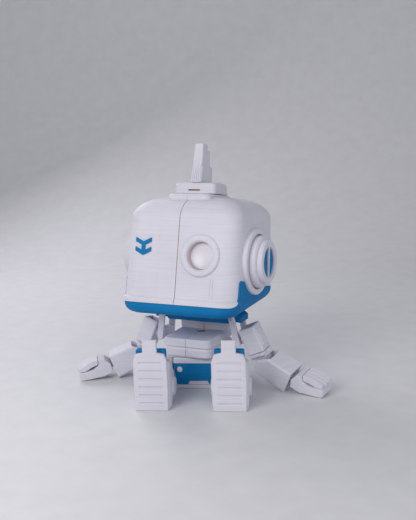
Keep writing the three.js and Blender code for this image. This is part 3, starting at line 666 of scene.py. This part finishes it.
def forearm_lines(place):
    """A rectangle of fine lines on the front and back faces of the forearm."""
    lines = []
    for face in (-1, 1):
        inner, outer = sorted((face * 12.85, face * 15))
        for low, high in (((-9, -29.6), (9, -29.2)), ((-9, -12.5), (9, -12.1)), ((-9, -29.6), (-8.6, -12.1)),
                          ((8.6, -29.6), (9, -12.1))):
            lines.append(block("cut_panel", (low[0], inner, low[1]), (high[0], outer, high[1]), place))
    return lines


def fuller_forearm(point, below):
    """Moves the faces outwards past the elbow, which keeps its own size; the floor limits the underside."""
    growth = 0.2 if point.x > 0 else below
    swell = 1 + growth * min(max((-point.z - 2) / 6, 0), 1)
    out = 2.2 if abs(point.y) > 5.5 else 0
    return Vector((point.x * swell, point.y + math.copysign(out, point.y), point.z))


def build_hand(side, place):
    """A wedge-shaped palm with a hollow below four fingers; +X is the back of the hand, -Z its tip."""
    half = HAND["half"]
    palm = [(-4.4, -3.4), (3.4, -4.2), (8.8, -9.8), (10.4, -15.9), (4.6, -16.4), (1.2, -21.5), (0.2, -29),
            (0.4, -35.4), (-1.2, -37), (-6.8, -37), (-8.3, -34.5), (-8.3, -12.5), (-6.6, -8)]
    piece = prism(f"palm_{side}", palm, -half, half, "Y", place)
    seat(soften(piece, 0.7, 25, 3), f"hand_palm_{side}")
    size = HAND["ball"]
    globe = [(size * math.sin(t), -size * math.cos(t)) for t in [math.radians(10 * i) for i in range(1, 18)]]
    ball = lathe(f"wrist_ball_{side}", [(0.01, -size), *globe, (0.01, size)], place)
    trim(ball, f"hand_{side}")

    pitch = 2 * half / 4
    for i, reach in enumerate((0.0, 1.3, 1.6, 0.5)):
        finger = [(10.4, -16.6), (10.0, -22), (6.8, -30.5), (4.2, -36.2 - reach), (1.8, -36.6 - reach),
                  (0.9, -34.5), (0.9, -30), (3.4, -24), (5.2, -17.2), (7, -16.6)]
        low = i * pitch - half + 0.28
        piece = prism(f"finger_{side}_{i}", finger, low, low + pitch - 0.56, "Y", place)
        soften(piece, 0.5, 25, 3)
        if i == 0:
            seat(piece, f"hand_fingers_{side}")
        else:
            trim(piece, f"hand_{side}")


def build_limbs(side):
    elbow, wrist = arm_places(side)
    sign = 1 if side == "left" else -1
    ankle = shift(sign * LEG["x"], LEG["ankle"], LEG["height"])
    for node in ("shoulder_bracket", "upper_arm_shell", "elbow_block", "thigh_shell", "shin_link",
                 "foot_instep", "foot_sole"):
        refine(f"{node}_{side}", 0.35)
    refine(f"foot_shell_{side}", 0.35, reshape=(ankle, lambda p: Vector((p.x * 1.1, p.y, p.z))))
    refine(f"ankle_axle_{side}", 0.35, reshape=(ankle, lambda p: Vector((p.x * 0.92, p.y, p.z))))
    below = 0.12 if side == "left" else 0.2
    refine(f"forearm_shell_{side}", cuts=forearm_lines(elbow),
           reshape=(elbow, lambda p: fuller_forearm(p, below)))
    build_hand(side, wrist)
    front, back = (12.3, -14.3) if side == "left" else (-12.3, 14.3)
    pins = [(f"shoulder_lift_{side}", (front, back), f"bracket_{side}"),
            (f"knee_{side}", (-9.5, 9.5), f"thigh_{side}")]
    for joint, offsets, body in pins:
        for end, offset in enumerate(offsets):
            screw(f"{joint}_screw_{end}", on_axis(joint, offset), body)


for side in ("left", "right"):
    build_limbs(side)


# ---------------------------------------------------------------- floor, light and camera, in metres
def build_floor():
    """A pale studio sweep: flat under and round the robot, curving up far behind it."""
    back, bend, top, width = 0.55, 0.6, 2.4, 4.0
    profile = [(-4.0, 0.0), (back, 0.0)]
    profile += [(back + bend * math.sin(t), bend * (1 - math.cos(t)))
                for t in [math.radians(3 * i) for i in range(1, 31)]]
    profile.append((back + bend, top))
    points = [(x, y, z) for y, z in profile for x in (-width, width)]
    faces = [(2 * i, 2 * i + 1, 2 * i + 3, 2 * i + 2) for i in range(len(profile) - 1)]
    mesh = bpy.data.meshes.new("floor")
    mesh.from_pydata(points, [], faces)
    floor = bpy.data.objects.new("floor", mesh)
    bpy.context.scene.collection.objects.link(floor)
    for face in mesh.polygons:
        face.use_smooth = True
    mesh.materials.append(moulded("studio_floor", (0.70, 0.70, 0.72), (0.74, 0.74, 0.76), 0.5, 200.0))


def area_light(name, place, aim, size, power, colour):
    light = bpy.data.lights.new(name, "AREA")
    light.size = size
    light.energy = power
    light.color = colour
    lamp = bpy.data.objects.new(name, light)
    lamp.location = place
    lamp.rotation_mode = "QUATERNION"
    lamp.rotation_quaternion = (Vector(aim) - Vector(place)).to_track_quat("-Z", "Y")
    bpy.context.scene.collection.objects.link(lamp)


def build_camera():
    forward = Vector(CAMERA["forward"]).normalized()
    right = forward.cross(Vector((0, 0, 1))).normalized()
    up = right.cross(forward)
    roll = math.radians(CAMERA["roll"])
    rolled_right = right * math.cos(roll) - up * math.sin(roll)
    rolled_up = up * math.cos(roll) + right * math.sin(roll)
    axes = Matrix((rolled_right, rolled_up, -forward)).transposed().to_4x4()
    data = bpy.data.cameras.new("camera")
    data.lens = CAMERA["lens"]
    data.sensor_width = 36
    data.clip_start, data.clip_end = 0.01, 20
    camera = bpy.data.objects.new("camera", data)
    camera.matrix_world = Matrix.Translation(CAMERA["place"]) @ axes
    bpy.context.scene.collection.objects.link(camera)
    bpy.context.scene.camera = camera


CAMERA = {
    "place": (0.0951, -0.7211, 0.2471), "forward": (-0.11701, 0.97835, -0.17073), "roll": 1.84, "lens": 51.64,
}
AIM = (0, 0, 0.11)

build_floor()
area_light("key", (-0.45, -0.8, 0.6), AIM, 0.5, 4.4, (1.0, 0.985, 0.97))
area_light("fill", (0.7, -0.6, 0.3), AIM, 0.7, 1.7, (0.93, 0.95, 1.0))
area_light("rim", (-0.5, 0.55, 0.6), AIM, 0.5, 3.0, (0.95, 0.92, 1.0))
world = bpy.data.worlds.new("studio")
world.use_nodes = True
world.node_tree.nodes["Background"].inputs["Color"].default_value = (0.86, 0.88, 0.92, 1)
world.node_tree.nodes["Background"].inputs["Strength"].default_value = 0.42
bpy.context.scene.world = world
build_camera()
bpy.context.scene.view_settings.view_transform = "Standard"
